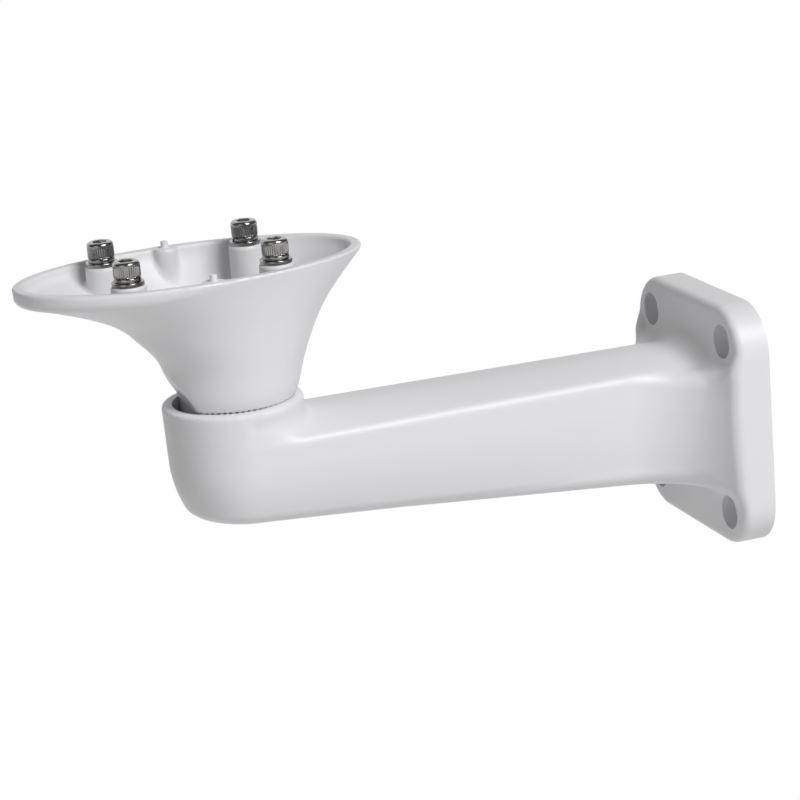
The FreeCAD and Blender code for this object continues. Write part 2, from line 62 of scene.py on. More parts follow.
# Shapes as distance fields, in millimetres: negative inside, positive outside

def meet(first: Array, second: Array, radius: float | Array) -> Array:
    """Keep what lies in both shapes, with a rounded outside edge.

    Args:
        first: distance to one shape.
        second: distance to the other shape.
        radius: radius of the edge where the two surfaces meet.

    Returns:
        The distance to the shape that both share.
    """
    inside = np.minimum(-radius, np.maximum(first, second))
    return inside + np.hypot(np.maximum(first + radius, 0), np.maximum(second + radius, 0))


def join(first: Array, second: Array, radius: float | Array) -> Array:
    """Keep what lies in either shape, with a fillet in the inside corner.

    Args:
        first: distance to one shape.
        second: distance to the other shape.
        radius: radius of the fillet.

    Returns:
        The distance to the two shapes together.
    """
    return -meet(-first, -second, radius)


def ramp(value: Array, low: float, high: float) -> Array:
    """Rise smoothly from 0 at low to 1 at high.

    Args:
        value: where to read the ramp.
        low: value at which it starts.
        high: value at which it ends.

    Returns:
        The ramp's height at each value.
    """
    part = np.clip((value - low) / (high - low), 0, 1)
    return part * part * (3 - 2 * part)


@dataclass(frozen=True)
class Curve:
    """A smooth curve through given heights and reaches."""

    knots: Array
    reaches: Array
    bends: Array

    @classmethod
    def through(cls, knots: Sequence[float], reaches: Sequence[float]) -> "Curve":
        """Fit a cubic curve with an even bend through points.

        Args:
            knots: heights, rising.
            reaches: reach at each height.

        Returns:
            The curve.
        """
        x, y = np.array(knots, float), np.array(reaches, float)
        step = np.diff(x)
        count = len(x)
        system, right = np.eye(count), np.zeros(count)
        for i in range(1, count - 1):
            system[i, i - 1:i + 2] = step[i - 1], 2 * (step[i - 1] + step[i]), step[i]
            right[i] = 6 * ((y[i + 1] - y[i]) / step[i] - (y[i] - y[i - 1]) / step[i - 1])
        return cls(x, y, np.linalg.solve(system, right))

    def read(self, height: Array) -> tuple[Array, Array]:
        """Read the curve.

        Args:
            height: heights to read at.

        Returns:
            The reach and its slope at each height.
        """
        x, y, bend = self.knots, self.reaches, self.bends
        height = np.clip(height, x[0], x[-1])
        i = np.clip(np.searchsorted(x, height) - 1, 0, len(x) - 2)
        step = x[i + 1] - x[i]
        up, down = (height - x[i]) / step, (x[i + 1] - height) / step
        reach = (down * y[i] + up * y[i + 1]
                 + ((down ** 3 - down) * bend[i] + (up ** 3 - up) * bend[i + 1]) * step ** 2 / 6)
        slope = ((y[i + 1] - y[i]) / step
                 + ((1 - 3 * down ** 2) * bend[i] + (3 * up ** 2 - 1) * bend[i + 1]) * step / 6)
        return reach, slope


@dataclass
class SkinNet:
    """Nets a closed skin of four-sided faces over a distance field."""

    low: Point
    high: Point
    cell: float
    settle: int = 5

    def axes(self) -> list[Array]:
        """Give the grid's ticks along each axis."""
        return [np.arange(low, high + self.cell, self.cell)
                for low, high in zip(self.low, self.high)]

    def net(self, skin: Skin) -> tuple[Array, list[tuple[int, ...]]]:
        """Net the skin and settle every point on it.

        Args:
            skin: distance field to cover.

        Returns:
            The points and the faces between them.
        """
        ticks = self.axes()
        grid = np.stack(np.meshgrid(*ticks, indexing="ij"), axis=-1)
        depth = skin(grid.reshape(-1, 3)).reshape(grid.shape[:3])
        inside = depth < 0
        cells = tuple(n - 1 for n in depth.shape)
        total, count = np.zeros(cells + (3,)), np.zeros(cells)
        crossed = []
        for axis in range(3):
            near = [slice(None)] * 3
            far = [slice(None)] * 3
            near[axis], far[axis] = slice(None, -1), slice(1, None)
            start, end = depth[tuple(near)], depth[tuple(far)]
            change = inside[tuple(near)] != inside[tuple(far)]
            with np.errstate(divide="ignore", invalid="ignore"):
                part = np.where(change, start / (start - end), 0)
            spot = grid[tuple(near)] + 0
            spot[..., axis] += part * self.cell
            crossed.append((change, inside[tuple(near)]))
            others = [a for a in range(3) if a != axis]
            for shift in ((0, 0), (0, 1), (1, 0), (1, 1)):
                take, put = [slice(None)] * 3, [slice(None)] * 3
                for other, move in zip(others, shift):
                    size = depth.shape[other]
                    take[other] = slice(move, size - 1 + move)
                mark = change[tuple(take)]
                total[tuple(put)] += spot[tuple(take)] * mark[..., None]
                count[tuple(put)] += mark
        used = count > 0
        number = np.full(cells, -1)
        number[used] = np.arange(used.sum())
        points = total[used] / count[used][:, None]
        faces: list[tuple[int, ...]] = []
        for axis, (change, first_inside) in enumerate(crossed):
            i, j, k = np.nonzero(change)
            spot = np.stack([i, j, k], axis=1)
            one, two = (axis + 1) % 3, (axis + 2) % 3
            ring = []
            for a, b in ((0, 0), (1, 0), (1, 1), (0, 1)):
                at = spot.copy()
                at[:, one] -= a
                at[:, two] -= b
                ring.append(number[tuple(at.T)])
            quads = np.stack(ring, axis=1)
            flip = ~first_inside[i, j, k]
            quads[flip] = quads[flip][:, ::-1]
            faces.extend(map(tuple, quads.tolist()))
        return self.settled(skin, points), faces

    def settled(self, skin: Skin, points: Array) -> Array:
        """Move points onto the skin along its slope.

        Args:
            skin: distance field.
            points: points near the skin.

        Returns:
            The points on the skin.
        """
        reach = self.cell * 0.02
        for _ in range(self.settle):
            depth = skin(points)
            slope = np.stack([(skin(points + shift) - skin(points - shift)) / (2 * reach)
                              for shift in np.eye(3) * reach], axis=1)
            size = np.maximum((slope ** 2).sum(axis=1), 0.05)
            move = depth[:, None] * slope / size[:, None]
            long = np.linalg.norm(move, axis=1, keepdims=True)
            points = points - move * np.minimum(1, self.cell * 0.4 / np.maximum(long, 1e-9))
        return points


class Side(Enum):
    """The two sides of the bracket."""

    NEAR = 1
    FAR = -1


class Workshop:
    """Makes, cuts and dresses mesh objects."""

    @staticmethod
    def solid(name: str, points: Iterable[Sequence[float]],
              faces: Iterable[Sequence[int]]) -> bpy.types.Object:
        """Make an object from points in millimetres.

        Args:
            name: the object's name.
            points: points in millimetres.
            faces: faces between them.

        Returns:
            The new object, with its faces turned outwards.
        """
        mesh = bpy.data.meshes.new(name)
        mesh.from_pydata((np.asarray(points, float) * MM).tolist(), [], list(faces))
        work = bmesh.new()
        work.from_mesh(mesh)
        bmesh.ops.recalc_face_normals(work, faces=work.faces)
        work.to_mesh(mesh)
        work.free()
        thing = bpy.data.objects.new(name, mesh)
        bpy.context.scene.collection.objects.link(thing)
        return thing

    @staticmethod
    def tube(name: str, rows: Sequence[Array]) -> bpy.types.Object:
        """Make a closed body from rings of equal length, capped at both ends.

        Args:
            name: the object's name.
            rows: rings of points in millimetres, from one end to the other.

        Returns:
            The new object.
        """
        size = len(rows[0])
        points = np.concatenate(rows)
        faces: list[tuple[int, ...]] = []
        for row in range(len(rows) - 1):
            base = row * size
            for i in range(size):
                j = (i + 1) % size
                faces.append((base + i, base + j, base + size + j, base + size + i))
        faces.append(tuple(range(size))[::-1])
        faces.append(tuple(range(len(points) - size, len(points))))
        return Workshop.solid(name, points, faces)

    @staticmethod
    def turned(name: str, profile: Sequence[tuple[float, float]], centre: Point,
               steps: int = 96) -> bpy.types.Object:
        """Turn a closed body about an upright axis.

        Args:
            name: the object's name.
            profile: radius and height of each ring, from one end to the other.
            centre: the axis's place, with the height that profiles count from.
            steps: points round each ring.

        Returns:
            The new object.
        """
        turn = np.linspace(0, 2 * math.pi, steps, endpoint=False)
        rows = [np.stack([centre[0] + radius * np.cos(turn), centre[1] + radius * np.sin(turn),
                          np.full(steps, centre[2] + height)], axis=1)
                for radius, height in profile]
        return Workshop.tube(name, rows)

    @staticmethod
    def pushed(name: str, outline: Sequence[tuple[float, float]], start: float, end: float,
               axis: int) -> bpy.types.Object:
        """Push an outline along an axis into a closed body.

        Args:
            name: the object's name.
            outline: points on the two other axes, in order.
            start: where the body starts along the axis.
            end: where it ends.
            axis: the axis, 0 for X, 1 for Y and 2 for Z.

        Returns:
            The new object.
        """
        flat = np.array(outline, float)
        rows = [np.insert(flat, axis, level, axis=1) for level in (start, end)]
        return Workshop.tube(name, rows)

    @staticmethod
    def combine(base: bpy.types.Object, tools: Sequence[bpy.types.Object],
                operation: str = "DIFFERENCE") -> bpy.types.Object:
        """Cut tools out of a body, or add them to it, and drop the tools.

        Args:
            base: the body to change.
            tools: the bodies to cut out or add.
            operation: DIFFERENCE or UNION.

        Returns:
            The changed body.
        """
        for tool in tools:
            change = base.modifiers.new("combine", "BOOLEAN")
            change.operation = operation
            change.object = tool
            change.solver = "EXACT"
            Workshop.apply(base)
            mesh = tool.data
            bpy.data.objects.remove(tool)
            bpy.data.meshes.remove(mesh)
        return base

    @staticmethod
    def apply(thing: bpy.types.Object) -> None:
        """Turn an object's modifiers into its mesh."""
        depsgraph = bpy.context.evaluated_depsgraph_get()
        fresh = bpy.data.meshes.new_from_object(thing.evaluated_get(depsgraph))
        old = thing.data
        fresh.name = thing.name
        thing.modifiers.clear()
        thing.data = fresh
        bpy.data.meshes.remove(old)

    @staticmethod
    def smooth(thing: bpy.types.Object, angle: float) -> None:
        """Shade an object smooth, with hard edges where faces meet steeply.

        Args:
            thing: the object.
            angle: the steepest angle in degrees that still looks smooth.
        """
        work = bmesh.new()
        work.from_mesh(thing.data)
        bmesh.ops.remove_doubles(work, verts=work.verts, dist=1e-7)
        limit = math.radians(angle)
        for face in work.faces:
            face.smooth = True
        for edge in work.edges:
            edge.smooth = len(edge.link_faces) == 2 and edge.calc_face_angle(0) < limit
        work.to_mesh(thing.data)
        work.free()

    @staticmethod
    def cut_back(thing: bpy.types.Object) -> None:
        """Cut off and close what lies behind the wall plane X = 0."""
        work = bmesh.new()
        work.from_mesh(thing.data)
        everything = list(work.verts) + list(work.edges) + list(work.faces)
        cut = bmesh.ops.bisect_plane(work, geom=everything, dist=1e-8, plane_co=(0, 0, 0),
                                     plane_no=(1, 0, 0), clear_inner=True)
        rim = [part for part in cut["geom_cut"] if isinstance(part, bmesh.types.BMEdge)]
        bmesh.ops.contextual_create(work, geom=rim)
        bmesh.ops.recalc_face_normals(work, faces=work.faces)
        work.to_mesh(thing.data)
        work.free()


def rounded_box(width: float, height: float, radius: float,
                steps: int = 10) -> list[tuple[float, float]]:
    """Draw a rectangle with rounded corners about the origin.

    Args:
        width: size along the first axis.
        height: size along the second axis.
        radius: corner radius.
        steps: pieces in each corner.

    Returns:
        The outline's points in order.
    """
    points = []
    for number, (x, y) in enumerate(((1, 1), (-1, 1), (-1, -1), (1, -1))):
        for step in range(steps + 1):
            turn = math.pi / 2 * (number + step / steps)
            points.append((x * (width / 2 - radius) + radius * math.cos(turn),
                           y * (height / 2 - radius) + radius * math.sin(turn)))
    return points


# Shader nodes

class Wire:
    """A shader socket that takes part in sums."""

    def __init__(self, tree: bpy.types.NodeTree, socket: bpy.types.NodeSocket) -> None:
        """Wrap a socket of a node tree."""
        self.tree = tree
        self.socket = socket

    def sum(self, operation: str, first: "Wire | float", second: "Wire | float") -> "Wire":
        """Work out one operation on numbers.

        Args:
            operation: a Math node's operation.
            first: the first value.
            second: the second value.

        Returns:
            The result's socket.
        """
        return Paint(self.tree).node("ShaderNodeMath", {"operation": operation},
                                     {0: first, 1: second})

    def __add__(self, other: "Wire | float") -> "Wire":
        """Add."""
        return self.sum("ADD", self, other)

    __radd__ = __add__

    def __mul__(self, other: "Wire | float") -> "Wire":
        """Multiply."""
        return self.sum("MULTIPLY", self, other)

    __rmul__ = __mul__

    def __sub__(self, other: "Wire | float") -> "Wire":
        """Take other from this."""
        return self.sum("SUBTRACT", self, other)

    def __rsub__(self, other: "Wire | float") -> "Wire":
        """Take this from other."""
        return self.sum("SUBTRACT", other, self)

    def __pow__(self, other: "Wire | float") -> "Wire":
        """Raise to a power."""
        return self.sum("POWER", self, other)

    def above(self, level: float) -> "Wire":
        """Give 1 where this is over a level, else 0."""
        return self.sum("GREATER_THAN", self, level)


class Paint:
    """Adds nodes to a material."""

    def __init__(self, tree: bpy.types.NodeTree) -> None:
        """Work on a node tree."""
        self.tree = tree

    def node(self, kind: str, settings: dict[str, Any] | None = None,
             inputs: dict[str | int, Any] | None = None, output: str | int = 0) -> Wire:
        """Add a node.

        Args:
            kind: the node's type.
            settings: its settings.
            inputs: the value of or the link into each named or numbered socket.
            output: the socket to return.

        Returns:
            The node's output socket.
        """
        made = self.tree.nodes.new(kind)
        for key, setting in (settings or {}).items():
            setattr(made, key, setting)
        for key, value in (inputs or {}).items():
            if isinstance(value, Wire):
                self.tree.links.new(value.socket, made.inputs[key])
            else:
                made.inputs[key].default_value = value
        return Wire(self.tree, made.outputs[output])

    def noise(self, scale: float, detail: float = 3, rough: float = 0.5,
              stretch: Point = (1, 1, 1)) -> Wire:
        """Add noise fixed to the object.

        Args:
            scale: waves per metre.
            detail: how many finer layers.
            rough: how strong they are.
            stretch: scale along each axis.

        Returns:
            The noise from 0 to 1.
        """
        place = self.node("ShaderNodeTexCoord", output="Object")
        spread = self.node("ShaderNodeMapping", inputs={"Vector": place, "Scale": stretch})
        return self.node("ShaderNodeTexNoise", inputs={
            "Vector": spread, "Scale": scale, "Detail": detail, "Roughness": rough})

    def mix(self, part: Wire | float, first: Any, second: Any) -> Wire:
        """Mix two colours."""
        return self.node("ShaderNodeMix", {"data_type": "RGBA"},
                         {"Factor": part, 6: first, 7: second}, output=2)

    def bump(self, height: Wire, strength: float, distance: float) -> Wire:
        """Turn a height into a bumped normal."""
        return self.node("ShaderNodeBump", inputs={
            "Height": height, "Strength": strength, "Distance": distance})


class Finish:
    """A material with its node tree."""

    name = "finish"

    def dress(self, paint: Paint) -> dict[str, Any]:
        """Give the shader's sockets their values and links."""
        raise NotImplementedError

    def material(self) -> bpy.types.Material:
        """Make the material, or give it back if it is made."""
        if self.name in bpy.data.materials:
            return bpy.data.materials[self.name]
        made = bpy.data.materials.new(self.name)
        made.use_nodes = True
        shader = made.node_tree.nodes["Principled BSDF"]
        for key, value in self.dress(Paint(made.node_tree)).items():
            if isinstance(value, Wire):
                made.node_tree.links.new(value.socket, shader.inputs[key])
            else:
                shader.inputs[key].default_value = value
        return made


@dataclass(frozen=True)
class PowderCoat(Finish):
    """Smooth white powder coat on cast metal."""

    name: str = "white_powder_coat"
    colour: tuple[float, float, float] = (0.80, 0.80, 0.815)
    gloss_rough: float = 0.42
    peel: float = 900.0

    def dress(self, paint: Paint) -> dict[str, Any]:
        """Give the coat its faint clouds and its fine peel."""
        cloud = paint.noise(14, 2)
        peel = paint.noise(self.peel, 2)
        warm = tuple(c * 0.985 for c in self.colour)
        return {
            "Base Color": paint.mix(cloud, (*warm, 1), (*self.colour, 1)),
            "Roughness": cloud * 0.08 + (self.gloss_rough - 0.04),
            "Normal": paint.bump(peel, 0.12, 0.00004),
        }


@dataclass(frozen=True)
class DarkSteel(Finish):
    """Dark, bright-polished steel of the screws and washers."""

    name: str = "dark_bright_steel"
    colour: tuple[float, float, float] = (0.27, 0.265, 0.26)
    gloss_rough: float = 0.2

    def dress(self, paint: Paint) -> dict[str, Any]:
        """Give the steel fine turning marks and a patchy polish."""
        marks = paint.noise(900, 3, 0.6, (1, 1, 6))
        patch = paint.noise(260, 2)
        bright = tuple(c * 1.9 for c in self.colour)
        return {
            "Base Color": paint.mix(patch ** 2, (*self.colour, 1), (*bright, 1)),
            "Metallic": 1.0,
            "Roughness": patch * 0.14 + self.gloss_rough - 0.07,
            "Normal": paint.bump(marks, 0.15, 0.00003),
        }


@dataclass(frozen=True)
class Backdrop(Finish):
    """Pale stage that the camera and glossy surfaces see as white."""

    name: str = "pale_backdrop"
    shade: float = 0.86

    def dress(self, paint: Paint) -> dict[str, Any]:
        """Give the stage its plain colour."""
        return {"Base Color": (self.shade, self.shade, self.shade, 1), "Roughness": 0.9}

    def material(self) -> bpy.types.Material:
        """Make the stage white to the camera and plain to everything else."""
        fresh = self.name not in bpy.data.materials
        made = super().material()
        if not fresh:
            return made
        paint = Paint(made.node_tree)
        nodes = made.node_tree.nodes
        shader = Wire(made.node_tree, nodes["Principled BSDF"].outputs[0])
        seen = paint.node("ShaderNodeLightPath", output="Is Camera Ray")
        glossy = paint.node("ShaderNodeLightPath", output="Is Glossy Ray")
        through = paint.node("ShaderNodeLightPath", output="Is Transmission Ray")
        white = paint.node("ShaderNodeEmission", inputs={"Color": (1, 1, 1, 1), "Strength": 1.0})
        blend = paint.node("ShaderNodeMixShader", inputs={
            0: (seen + glossy + through).above(0.5), 1: shader, 2: white})
        made.node_tree.links.new(blend.socket, nodes["Material Output"].inputs["Surface"])
        return made


COAT = PowderCoat()
STEEL = DarkSteel()


def fit(thing: bpy.types.Object, finish: Finish, body: str, slot: str, *nodes: str) -> None:
    """Dress a piece and hang it on its body.

    Args:
        thing: the piece.
        finish: its material.
        body: the body that it rides on.
        slot: name of the material slot; not used.
        nodes: the solids that it stands for.
    """
    thing.data.materials.clear()
    thing.data.materials.append(finish.material())
    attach(thing, body)
    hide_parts(*nodes)
    log.info("%s: %d faces", thing.name, len(thing.data.polygons))


@dataclass
class WallArm:
    """The casting of wall plate, hollow arm and cup."""

    plate_width: float = 92.2
    plate_height: float = 97.0
    plate_thick: float = 13.3
    plate_corner: float = 19.0
    plate_edge: float = 3.0
    plate_skin: float = 5.5
    plate_rim: float = 5.0
    hole_across: float = 64.4
    hole_up: float = 69.6
    hole_bore: float = 7.0
    hole_sink: float = 13.4
    hole_sink_depth: float = 6.0
    hole_bend: float = 0.4
    hole_boss: float = 20.0
    axis_reach: float = 201.7
    root_half: float = 21.6
    crease: float = 23.5
    crown: float = 28.1
    root_foot: float = -26.6
    cup_foot: float = -9.2
    root_foot_round: float = 8.0
    cup_foot_round: float = 4.5
    foot_rise: float = 12.0
    foot_soften: float = 0.5
    crease_round: float = 2.6
    crease_spread: float = 4.0
    crease_span: Span = (6.0, 42.0)
    crease_share: float = 0.85
    crease_dip: float = 0.4
    dip_reach: float = 2.5
    arm_wall: float = 4.2
    arm_belly: float = 1.5
    flare_round: float = 36.5
    flare_fall: float = 1.5
    fall_span: Span = (6.0, 20.0)
    flare_fade: float = 26.0
    fade_below: Span = (22.0, 44.0)
    fade_above: Span = (24.0, 43.0)
    wing_reach: float = 26.0
    wing_span: Span = (1.0, 16.0)
    fillet_spread: float = -2.5
    rim_span: Span = (14.0, 23.0)
    rim_spread: float = 5.5
    crown_fillet: float = 8.0
    root_fillet: float = 5.5
    cup_radius: float = 26.9
    cup_low_radius: float = 25.5
    cup_top: float = 36.3
    cup_bottom: float = -10.0
    cup_belly: float = 14.0
    cup_draw: float = 0.0118
    cup_lip_round: float = 1.4
    cup_wall: float = 4.0
    scoop_round: float = 4.0
    scoop_spread: float = 5.0
    scoop_swing: Span = (20.0, 75.0)
    scoop_lean: float = 0.35
    scoop_top: float = 33.5
    scoop_depth: float = 12.0
    scoop_end: Span = (88.0, 112.0)
    scoop_drop: float = 5.0
    scoop_crisp: Span = (24.0, 29.0)
    scoop_edge: float = 0.4
    cup_floor: float = 4.5
    cup_bend: float = 9.0
    way_start: float = -6.3
    way_past: float = 0.3
    way_bend: float = 5.0
    way_draft: float = 1.2
    seat_bore: float = 30.0
    seat_depth: float = 6.0
    notch_chord: float = 16.8
    notch_depth: float = 22.0
    tooth_count: int = 60
    tooth_half: float = 0.8
    tooth_depth: float = 0.8
    tooth_reach: float = 22.3
    clamp_boss: float = 18.0
    clamp_boss_top: float = 19.0
    clamp_bore: float = 8.2
    clamp_tip: float = 3.0
    halfway: float = 100.0
    spare_back: float = 3.4
    cell: float = 1.15

    def cup_at(self, height: Array | float) -> Array | float:
        """Give the cup's radius at a height, with its sides drawn in at the foot."""
        share = (height - self.cup_bottom) / (self.cup_top - self.cup_bottom)
        drawn = np.clip(self.cup_belly - height, 0, self.cup_belly - self.cup_bottom + 4)
        return (self.cup_low_radius + (self.cup_radius - self.cup_low_radius) * share
                - self.cup_draw * drawn ** 2)

    def foot_at(self, along: Array | float) -> Array | float:
        """Give the height of the arm's underside at a place along it."""
        return self.root_foot + (self.cup_foot - self.root_foot) * along / self.axis_reach

    def half_at(self, along: Array | float, height: Array | float) -> Array | float:
        """Give the arm's half width at a place along it and a height."""
        share = (along - self.plate_thick) / (self.axis_reach - self.plate_thick)
        down = np.clip((self.crease - height) / (self.crease - self.root_foot), 0, 1.1)
        root = self.root_half - self.arm_belly * down ** 2
        return root + (self.cup_at(height) - root) * share

    def skin(self, points: Array) -> Array:
        """Measure the distance to the casting's outside.

        Args:
            points: points in millimetres.

        Returns:
            The distance at each point.
        """
        x, y, z = points.T
        side, out = np.abs(y), x - self.axis_reach
        front = x - self.plate_thick
        along = np.minimum(x, self.axis_reach)
        radius = np.hypot(out, y)
        wall = side - self.half_at(along, z)
        plan = np.where(out < 0, wall, radius - self.cup_at(z))
        fade = np.maximum(ramp(-z, *self.fade_below), ramp(z, *self.fade_above))
        plan = join(front, plan, self.flare_round - self.flare_fade * fade
                    - self.flare_fall * ramp(np.abs(z), *self.fall_span))
        past = np.clip(side - self.half_at(along, self.crease), 0, self.wing_reach)
        wing = ramp(past, *self.wing_span)
        spread = self.fillet_spread * wing + self.rim_spread * ramp(past, *self.rim_span)

        slope = (self.cup_foot - self.root_foot) / self.axis_reach
        low = join(front, (self.foot_at(x) - z) / math.hypot(1, slope),
                   self.root_fillet + spread)
        share = np.clip(x / self.axis_reach, 0, 1.2)
        lower = self.root_foot_round + (self.cup_foot_round - self.root_foot_round) * share
        body = meet(plan, low, lower * np.clip(front / self.foot_rise, 0, 1)
                    + self.foot_soften * wing * np.clip(front, 0, self.foot_rise))

        half, rise = self.half_at(along, self.crease), self.crown - self.crease
        part = np.minimum(side / half, 1)
        level = (self.crown - rise * part ** 2
                 - self.crease_dip * past * np.exp(-past / self.dip_reach))
        over = (z - level) / np.hypot(1, 2 * rise * part / half)
        turn = np.degrees(np.arctan2(side, -out))
        swing = ramp(turn, *self.scoop_swing)
        clear = (radius - self.cup_at(z) - self.scoop_drop * ramp(turn, *self.scoop_end)
                 + self.scoop_lean * swing * np.clip(self.scoop_top - z, 0, self.scoop_depth))
        over = join(over, clear, self.scoop_round + self.scoop_spread * swing)
        top = join(front, over, self.crown_fillet + spread)
        beyond = x > self.halfway
        edge = (self.crease_round + self.crease_spread * (1 - ramp(front, *self.crease_span))
                - (self.crease_round - self.scoop_edge) * ramp(z, *self.scoop_crisp) * beyond)
        body = meet(body, top, np.minimum(edge, self.crease_share * np.maximum(front, 0)))
        body = meet(body, z - self.cup_top, self.cup_lip_round * beyond)

        across = np.maximum(side - self.plate_width / 2 + self.plate_corner, 0)
        up = np.maximum(np.abs(z) - self.plate_height / 2 + self.plate_corner, 0)
        inner = np.minimum(np.maximum(side - self.plate_width / 2,
                                      np.abs(z) - self.plate_height / 2), 0)
        outline = np.where(np.maximum(across, up) > 0,
                           np.hypot(across, up) - self.plate_corner, inner)
        body = np.where(beyond, body, np.minimum(front, body))
        return np.maximum(meet(body, outline, self.plate_edge), -self.spare_back - x)

    def section(self, along: float, inset: float) -> Array:
        """Draw the hollow's section.

        Args:
            along: place along the arm.
            inset: wall between the hollow and the outside.

        Returns:
            The ring of points.
        """
        half = float(self.half_at(along, self.crease)) - inset
        foot = float(self.foot_at(along)) + inset
        high = self.crease - inset * 0.8
        bend = self.way_bend
        ring = []
        for step in range(13):
            part = 1 - step / 6
            ring.append((part * half, high + (self.crown - self.crease) * (1 - part ** 2)))
        for sign, turns in ((-1, range(0, 91, 15)), (1, range(90, -1, -15))):
            for turn in turns:
                bow = math.radians(turn)
                ring.append((sign * (half - self.way_draft - bend + bend * math.cos(bow)),
                             foot + bend - bend * math.sin(bow)))
        return np.array([(along, y, z) for y, z in ring])

    def hollow(self) -> list[bpy.types.Object]:
        """Build the spaces inside: cored back, cable way and cup."""
        way = Workshop.tube("way", [
            self.section(self.way_start, self.arm_wall),
            self.section(self.axis_reach + self.way_past, self.arm_wall)])
        inner = self.cup_low_radius - self.cup_wall
        floor = self.cup_bottom + self.cup_floor
        bend = self.cup_bend
        profile = [(0.05, floor)]
        for turn in range(0, 91, 10):
            bow = math.radians(turn)
            profile.append((inner - bend + bend * math.sin(bow),
                            floor + bend - bend * math.cos(bow)))
        ledge = self.cup_top - self.seat_depth
        profile += [(inner, ledge), (self.seat_bore / 2, ledge),
                    (self.seat_bore / 2, self.cup_top + 4)]
        room = Workshop.turned("room", profile, (self.axis_reach, 0, 0))
        core = Workshop.pushed("core", rounded_box(
            self.plate_width - 2 * self.plate_rim, self.plate_height - 2 * self.plate_rim,
            self.plate_corner - self.plate_rim), -5, self.plate_thick - self.plate_skin, 0)
        bosses = []
        for side in Side:
            for level in (-1, 1):
                bosses.append(self.rod("boss", self.hole_boss / 2, -6, self.plate_thick,
                                       side.value, level))
        Workshop.combine(core, bosses)
        boss = Workshop.turned("clamp_boss", [(self.clamp_boss / 2, -30),
                                              (self.clamp_boss / 2, self.clamp_boss_top)],
                               (self.axis_reach, 0, 0), 60)
        Workshop.combine(room, [way], "UNION")
        return [core, Workshop.combine(room, [boss])]

    def rod(self, name: str, radius: float, start: float, end: float, side: int,
            level: int) -> bpy.types.Object:
        """Make a round rod along X at a wall hole.

        Args:
            name: the object's name.
            radius: the rod's radius.
            start: where it starts along X.
            end: where it ends.
            side: 1 on the near side, -1 on the far side.
            level: 1 at the top, -1 at the bottom.

        Returns:
            The rod.
        """
        ring = [(side * self.hole_across / 2 + radius * math.cos(t),
                 level * self.hole_up / 2 + radius * math.sin(t))
                for t in np.linspace(0, 2 * math.pi, 48, endpoint=False)]
        return Workshop.pushed(name, ring, start, end, 0)

    def cutters(self) -> list[bpy.types.Object]:
        """Build the wall holes, the notch, the clamp hole and the teeth."""
        bore, sink, bend = self.hole_bore / 2, self.hole_sink / 2, self.hole_bend
        step = self.plate_thick - self.hole_sink_depth
        profile = ((bore, -2), (bore, step), (sink - bend, step), (sink, step + bend),
                   (sink, self.plate_thick + 8))
        made = []
        for side in Side:
            for level in (-1, 1):
                rows = []
                for radius, x in profile:
                    turn = np.linspace(0, 2 * math.pi, 64, endpoint=False)
                    rows.append(np.stack([
                        np.full(64, x),
                        side.value * self.hole_across / 2 + radius * np.cos(turn),
                        level * self.hole_up / 2 + radius * np.sin(turn)], axis=1))
                made.append(Workshop.tube("sink", rows))
        inner = self.cup_radius - self.cup_wall
        reach = math.acos(self.notch_chord / inner)
        arc = [(self.axis_reach + inner * math.cos(t), inner * math.sin(t))
               for t in np.linspace(-reach, reach, 25)]
        made.append(Workshop.pushed("notch", arc, self.cup_top - self.notch_depth,
                                    self.cup_top + 3, 2))
        made.append(Workshop.turned("clamp_hole", [(self.clamp_bore / 2, self.clamp_tip - 1),
                                                   (self.clamp_bore / 2,
                                                    self.clamp_boss_top + 2)],
                                    (self.axis_reach, 0, 0), 48))
        made.append(teeth(self.tooth_count, self.seat_bore / 2 - 1, self.tooth_reach,
                          self.tooth_half, self.tooth_depth, self.axis_reach, self.cup_top, -1))
        return made

    def build(self) -> None:
        """Net the skin, hollow it out and hang it on the arm's body."""
        low = (-4.6, -math.ceil(self.plate_width / 2 + 2) + 0.3,
               -math.ceil(self.plate_height / 2 + 2) + 0.2)
        high = (self.axis_reach + self.cup_radius + 2, self.plate_width / 2 + 2,
                self.plate_height / 2 + 2)
        points, faces = SkinNet(low, high, self.cell).net(self.skin)
        arm = Workshop.solid("wall_arm_casting", points, faces)
        Workshop.cut_back(arm)
        Workshop.combine(arm, self.hollow())
        Workshop.combine(arm, self.cutters())
        Workshop.smooth(arm, 42)
        fit(arm, COAT, "arm", "white_paint", "wall_arm")


def teeth(count: int, start: float, end: float, half: float, depth: float, reach: float,
          level: float, way: int) -> bpy.types.Object:
    """Build the toothed ring that cuts grooves into a seat.

    Args:
        count: number of grooves.
        start: inner radius of the ring.
        end: outer radius of the ring.
        half: half width of a groove.
        depth: depth of a groove.
        reach: the axis's place along X.
        level: height of the seat.
        way: -1 cuts down, 1 cuts up.

    Returns:
        The ring.
    """
    step = 2 * math.pi / count
    clear = 0.4 * depth
    columns = []
    for number in range(count * 4):
        groove, corner = divmod(number, 4)
        low, high = [], []
        for radius in np.linspace(start, end, 7):
            edge = min(half * (1 + clear / depth) / (step * radius), 0.42)
            turn = (groove + (-edge, 0, edge, 0.5)[corner]) * step
            rise = depth if corner == 1 else -min(clear, depth * (
                step * radius * (0.5 if corner == 3 else edge) / half - 1))
            spot = reach + radius * math.cos(turn), radius * math.sin(turn)
            low.append((*spot, level + way * rise))
            high.append((*spot, level - way * 3))
        columns.append(low + high[::-1])
    size = len(columns[0])
    faces = []
    for number in range(len(columns)):
        a, b = number * size, (number + 1) % len(columns) * size
        faces += [(a + i, b + i, b + (i + 1) % size, a + (i + 1) % size) for i in range(size)]
    return Workshop.solid("teeth", [spot for column in columns for spot in column], faces)


